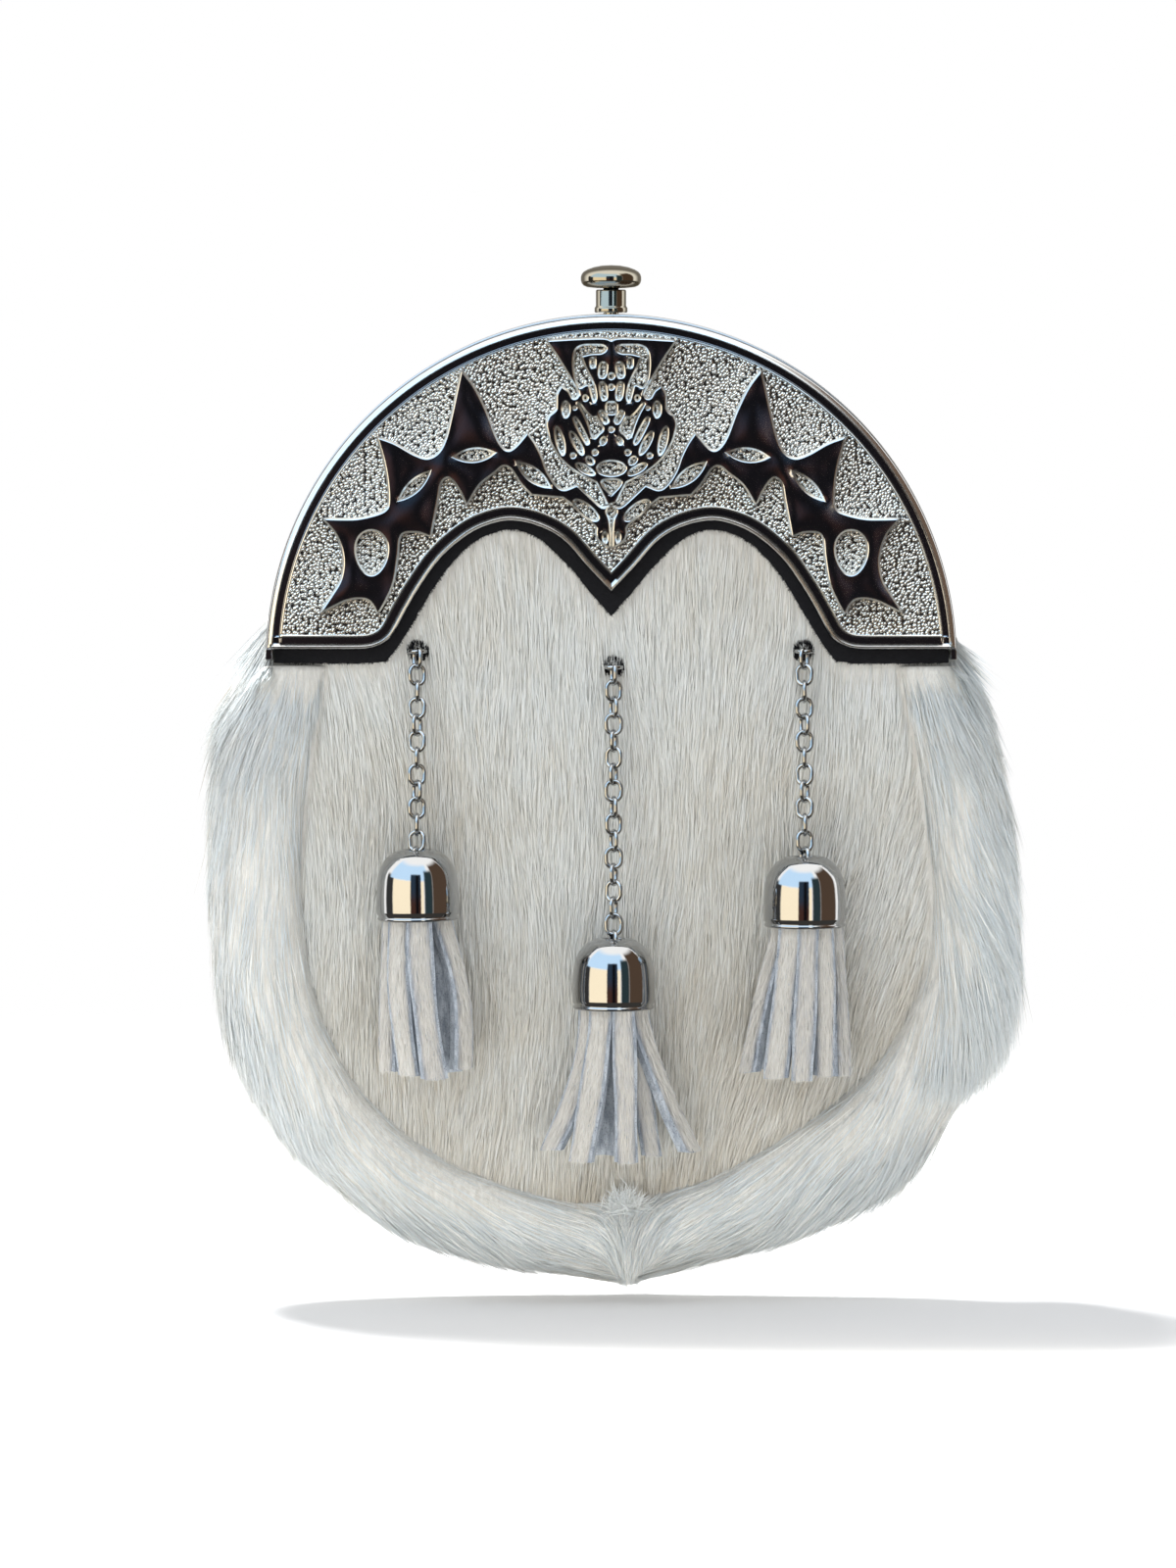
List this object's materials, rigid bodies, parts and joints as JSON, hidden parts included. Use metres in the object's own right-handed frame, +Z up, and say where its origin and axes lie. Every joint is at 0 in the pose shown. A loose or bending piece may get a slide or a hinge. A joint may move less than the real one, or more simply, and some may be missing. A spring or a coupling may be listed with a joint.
{
  "type": "sporran pouch",
  "caption": "Dress sporran: fur-covered hide pouch with a cast half-round thistle cantle, pull-knob catch and hide tassels on chains under domed bells.",
  "frame": {"origin": "between the two belt loops on the back, at mid height of the strap and mid thickness of its gap", "axes": "+Z up as worn, -Y towards the viewer of the cantle, +Y towards the wearer, +X to the viewer's right"},
  "size_m": [0.1795, 0.0518, 0.2255],
  "materials": {
    "cantle_metal": "bright plated casting with a pebbled ground",
    "chrome": "polished",
    "dark_steel": "dull",
    "felt": "black felt",
    "fur": "short white cowhide, hair on",
    "leather": "black smooth leather"
  },
  "bodies": {
    "root": {"cantle": "cantle_metal", "cantle_backing": "felt", "frame_band": "dark_steel", "hinge_pin_left": "dark_steel", "hinge_pin_right": "dark_steel", "knob_boss": "cantle_metal", "front_panel": "fur", "back_panel": "leather", "roll_left": "fur", "roll_right": "fur", "belt_loop_left": "leather", "belt_loop_right": "leather", "chain_left": "chrome", "chain_centre": "chrome", "chain_right": "chrome", "chain_pin_left": "dark_steel", "chain_pin_centre": "dark_steel", "chain_pin_right": "dark_steel", "bell_left": "chrome", "bell_centre": "chrome", "bell_right": "chrome", "tassel_left": "fur", "tassel_centre": "fur", "tassel_right": "fur"},
    "knob": {"knob": "cantle_metal"}
  },
  "joints": [
    {"name": "knob_pull", "type": "slide", "parent": "root", "child": "knob", "axis": [0, 0, 1], "range_m": [0, 0.003], "stiffness_N_per_m": 800, "springref_m": -0.004}
  ]
}
